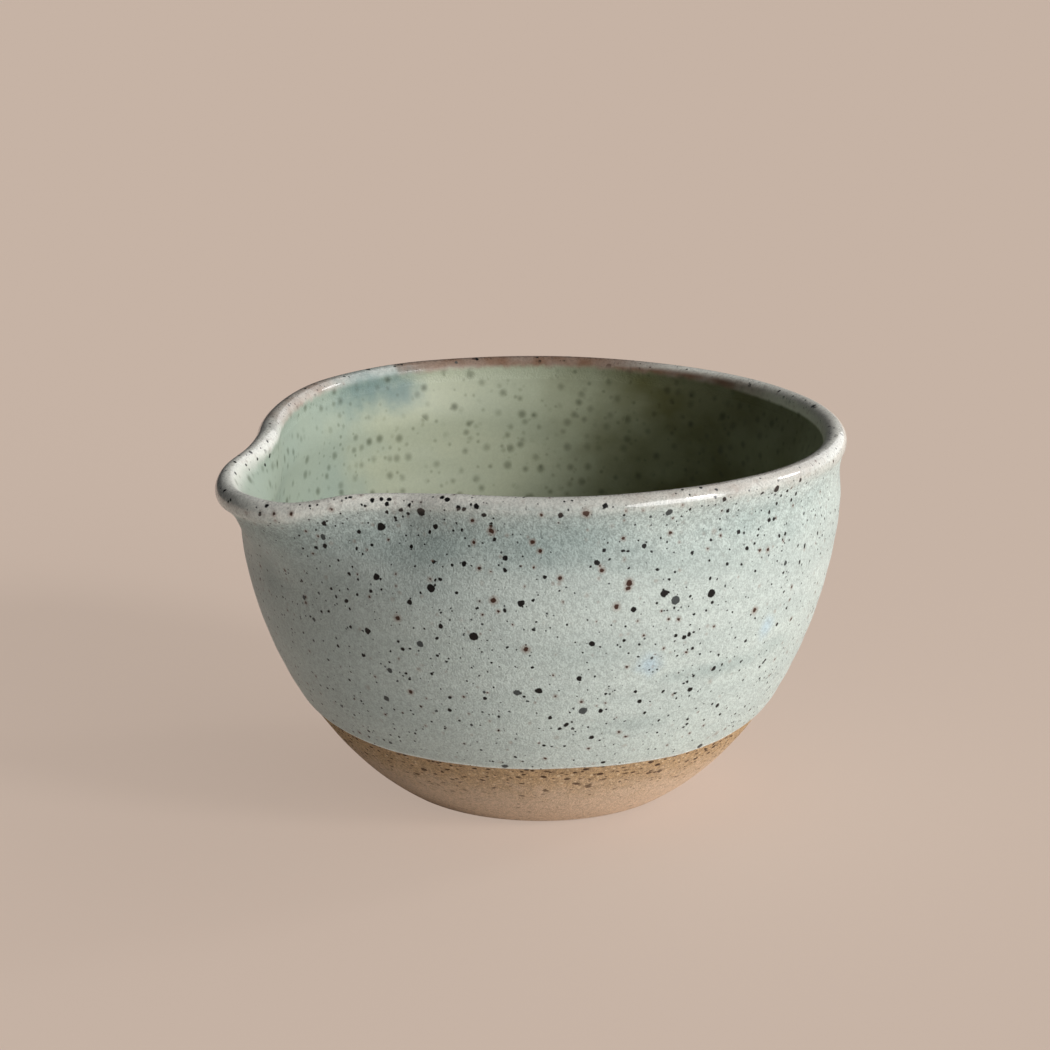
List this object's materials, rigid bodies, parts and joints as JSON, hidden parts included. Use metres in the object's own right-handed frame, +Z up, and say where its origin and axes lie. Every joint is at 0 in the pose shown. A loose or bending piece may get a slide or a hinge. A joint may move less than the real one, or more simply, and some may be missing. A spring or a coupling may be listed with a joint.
{
  "type": "spouted matcha bowl",
  "caption": "Thick hand-thrown stoneware tea bowl with a pouring spout pulled from its rounded rim, speckled celadon glaze and a bare clay foot, for whisking and pouring.",
  "frame": {"origin": "centre of the flat foot, on the bowl's turning axis", "axes": "+Z up along the turning axis, -X towards the spout, the bowl mirrors across the XZ plane"},
  "size_m": [0.1402, 0.13, 0.0803],
  "materials": {
    "bare_stoneware": "matte",
    "pale_celadon_glaze": "satin",
    "warm_rim_glaze": "gloss",
    "olive_liner_glaze": "gloss"
  },
  "bodies": {
    "root": {"stoneware_body": "bare_stoneware", "outer_glaze": "pale_celadon_glaze", "rim_glaze": "warm_rim_glaze", "liner_glaze": "olive_liner_glaze"}
  },
  "joints": []
}
